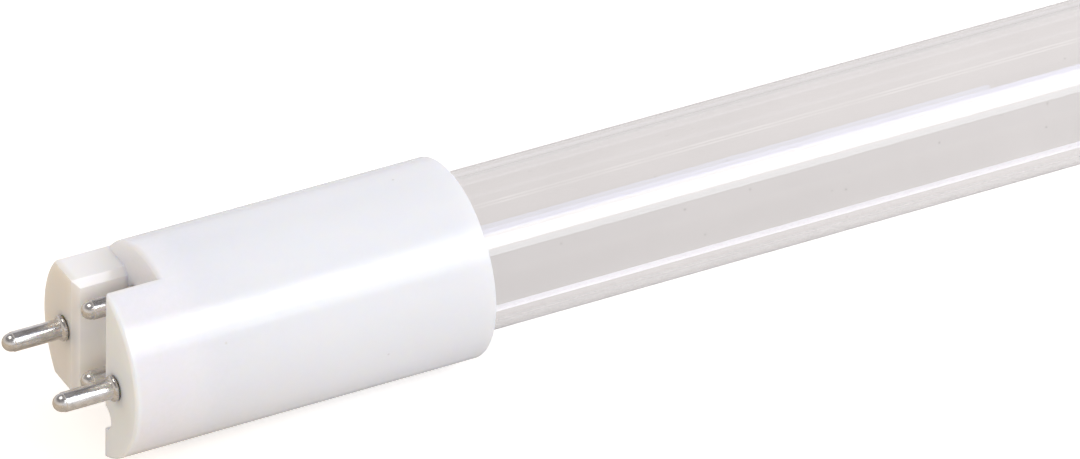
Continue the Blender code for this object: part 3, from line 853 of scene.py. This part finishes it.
def edge_wedge(name, side, chamfer):
    """A cutter that bevels the edge between a prong's face and its slot wall."""
    wall = side * SLOT_HALF_WIDTH
    inside = side * (SLOT_HALF_WIDTH - chamfer)
    outline = [
        (-OVERCUT, inside),
        (chamfer, inside),
        (chamfer, wall),
        (-OVERCUT, wall + side * (chamfer + OVERCUT)),
    ]
    reach = BASE_RADIUS + OVERCUT
    return link_object(name, prism(name, outline, -reach, reach, along_z))


def pin_places():
    """Each pin's node, the x of its face and of its tip, and its y and z."""
    return [
        ("front_prong_pin", 0.0, PRONG_PIN_TIP_X, -OUTER_PIN_OFFSET, 0.0),
        ("back_prong_pin", 0.0, PRONG_PIN_TIP_X, OUTER_PIN_OFFSET, 0.0),
        ("upper_slot_pin", PRONG_LENGTH, SLOT_PIN_TIP_X, INNER_PIN_OFFSET, INNER_PIN_RISE),
        ("lower_slot_pin", PRONG_LENGTH, SLOT_PIN_TIP_X, INNER_PIN_OFFSET, -INNER_PIN_RISE),
    ]


def notch_rim():
    """A cutter that rounds the outer rim of the wall behind the prongs."""
    floor_x = PRONG_LENGTH
    rounding = NOTCH_EDGE_RADIUS
    beyond = BASE_RADIUS + OVERCUT
    profile = [(floor_x - OVERCUT, beyond), (floor_x - OVERCUT, BASE_RADIUS - rounding)]
    profile += arc(
        floor_x + rounding, BASE_RADIUS - rounding, rounding, 180, 90, CORNER_STEPS
    )
    profile.append((floor_x + rounding, beyond))
    ring = link_object("notch_rim", lathe("notch_rim", profile, BASE_SEGMENTS, closed=True))
    gap = prism("rim_gap", prong_gap_outline(), -OVERCUT, floor_x + rounding + OVERCUT, along_x)
    combine(ring, [link_object("rim_gap", gap)], "INTERSECT")
    return ring


def make_base(plastic):
    """The pin base: the turned shape less its slot, bevels, pin holes and wire channels."""
    mesh = lathe("base_moulding", base_profile(), BASE_SEGMENTS)
    base = link_object("base_moulding", mesh, plastic)
    gap = prism("prong_gap", prong_gap_outline(), -OVERCUT, PRONG_LENGTH, along_x)
    cutters = [
        link_object("prong_gap", gap),
        edge_wedge("back_edge", 1.0, KEY_FACE_CHAMFER),
        edge_wedge("front_edge", -1.0, SLOT_EDGE_BREAK),
        notch_rim(),
    ]
    hole_radius = PIN_RADIUS + SEAT_GAP
    hole_end = CAVITY_X + OVERCUT
    for name, face, _, y, z in pin_places():
        start = face - OVERCUT
        cutters.append(rod(name + "_hole", hole_radius, start, hole_end, y, z, PIN_SEGMENTS))
    cutters += channel_cutters("base_channel", CHANNEL_START, BASE_LENGTH + OVERCUT)
    combine(base, cutters)
    clean_cuts(base)
    settle(base, "base_plastic", "base_shell")


def pin_profile(tip, tail):
    """A hollow pin that stands on the plane x = 0: domed nose, collar, shank and solder bore."""
    profile = []
    for step in range(NOSE_SEGMENTS + 1):
        angle = math.radians(90.0 * step / NOSE_SEGMENTS)
        profile.append((
            tip + PIN_NOSE * (1.0 - math.cos(angle)),
            (PIN_RADIUS - NOSE_STEP) * math.sin(angle),
        ))
    outer = -SEAT_GAP - COLLAR_THICKNESS
    bevel = -outer * 0.5
    bore_end = tail - PIN_BORE_DEPTH
    profile += [
        (tip + PIN_NOSE + NOSE_STEP, PIN_RADIUS),
        (outer - COLLAR_ROOT_LENGTH, PIN_RADIUS),
        (outer, PIN_RADIUS + COLLAR_ROOT_RISE),
        *arc(outer + bevel, COLLAR_RADIUS - bevel, bevel, 150, 0, COLLAR_STEPS),
        (-COLLAR_CLEARANCE, COLLAR_RADIUS - bevel * 0.5),
        (-COLLAR_CLEARANCE, PIN_RADIUS),
        (tail, PIN_RADIUS),
        (tail, PIN_BORE_RADIUS),
        (bore_end, PIN_BORE_RADIUS),
        (bore_end - PIN_BORE_RADIUS * 0.5, 0.0),
    ]
    return profile


def make_pins():
    """The four contact pins."""
    metal = plated_metal()
    for node, face, tip, y, z in pin_places():
        name = node.replace("_pin", "_contact")
        profile = pin_profile(tip - face, PIN_TAIL_X - face)
        pin = link_object(name, lathe(name, profile, PIN_SEGMENTS), metal)
        pin.location = (face, y, z)
        settle(pin, "pin_metal", node)


def make_glass():
    """The envelope: a long tube whose ends turn inward to meet the stems."""
    start, end = GLASS_LOW.x, GLASS_HIGH.x
    rounding = GLASS_END_ROUNDING
    corner = GLASS_RADIUS - rounding
    inner = GLASS_RADIUS - GLASS_WALL
    rim = inner - GLASS_LIP
    profile = [
        (start, rim),
        *arc(start + rounding, corner, rounding, 180, 90, CORNER_STEPS),
        *arc(end - rounding, corner, rounding, 90, 0, CORNER_STEPS),
        (end, rim),
        (end - GLASS_WALL, rim),
        (end - GLASS_WALL - GLASS_LIP, inner),
        (start + GLASS_WALL + GLASS_LIP, inner),
        (start + GLASS_WALL, rim),
    ]
    mesh = lathe("glass_envelope", profile, GLASS_SEGMENTS, closed=True)
    glass = link_object("glass_envelope", mesh, lamp_glass())
    settle(glass, "lamp_glass", "glass_tube")


def make_sleeves():
    """The two sleeved return wires along the outside of the glass."""
    plastic = sleeve_plastic()
    low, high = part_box("upper_wire_sleeve")
    profile = [
        (low.x, SLEEVE_RADIUS),
        (high.x, SLEEVE_RADIUS),
        (high.x, SLEEVE_BORE_RADIUS),
        (low.x, SLEEVE_BORE_RADIUS),
    ]
    for label, angle in zip(("upper", "lower"), RETURN_ANGLES):
        mesh = lathe(label + "_sleeve", profile, SLEEVE_SEGMENTS, closed=True)
        sleeve = link_object(label + "_sleeve", mesh, plastic)
        sleeve.location = (0.0, *around(angle, RETURN_WIRE_REACH))
        settle(sleeve, "wire_sleeve", label + "_wire_sleeve")


def make_cap(plastic):
    """The far end's plain cap, with channels for the return wires."""
    start, end = CAP_LOW.x, CAP_HIGH.x
    rounding = CAP_EDGE_RADIUS
    rim = REAR_EDGE_RADIUS
    floor_x = end - CAP_END_WALL
    profile = [
        (floor_x, 0.0),
        (floor_x, BORE_RADIUS),
        (start + MOUTH_CHAMFER, BORE_RADIUS),
        (start, BORE_RADIUS + MOUTH_CHAMFER * 0.5),
        *arc(start + rim, CAP_RADIUS - rim, rim, 180, 90, CORNER_STEPS),
        *arc(end - rounding, CAP_RADIUS - rounding, rounding, 90, 0, CAP_EDGE_STEPS),
        (end, 0.0),
    ]
    cap = link_object("cap_moulding", lathe("cap_moulding", profile, CAP_SEGMENTS), plastic)
    combine(cap, channel_cutters("cap_channel", start - OVERCUT, GLASS_HIGH.x))
    settle(cap, "cap_plastic", "end_cap")


def finish_nodes():
    """Gives the inner nodes that keep their solids a finish of their own."""
    cement = powdery("basing_cement", (0.70, 0.67, 0.60), (0.82, 0.80, 0.74), 700.0, 0.85)
    emitter = powdery("coated_coil", (0.55, 0.55, 0.52), (0.78, 0.77, 0.74), 5000.0, 0.7, 0.00002)
    lead = drawn_wire("nickel_lead", (0.55, 0.53, 0.49), (0.74, 0.72, 0.68))
    wire = drawn_wire("return_wire", (0.60, 0.58, 0.55), (0.78, 0.76, 0.73))
    quicksilver = drawn_wire("mercury", (0.74, 0.74, 0.75), (0.82, 0.82, 0.83))
    stem = inner_glass()
    finishes = {
        "near_stem": stem,
        "far_stem": stem,
        "near_filament": emitter,
        "far_filament": emitter,
        "near_lead_front": lead,
        "near_lead_back": lead,
        "far_lead_front": lead,
        "far_lead_back": lead,
        "upper_return_wire": wire,
        "lower_return_wire": wire,
        "base_cement": cement,
        "cap_cement": cement,
        "mercury_bead": quicksilver,
    }
    for node, material in finishes.items():
        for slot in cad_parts[node].material_slots:
            slot.material = material


make_camera()
make_world()
make_lights()
make_floor()
white_plastic = moulded_plastic()
make_base(white_plastic)
make_pins()
make_glass()
make_cap(white_plastic)
make_sleeves()
finish_nodes()
bpy.context.scene.view_settings.view_transform = "Standard"
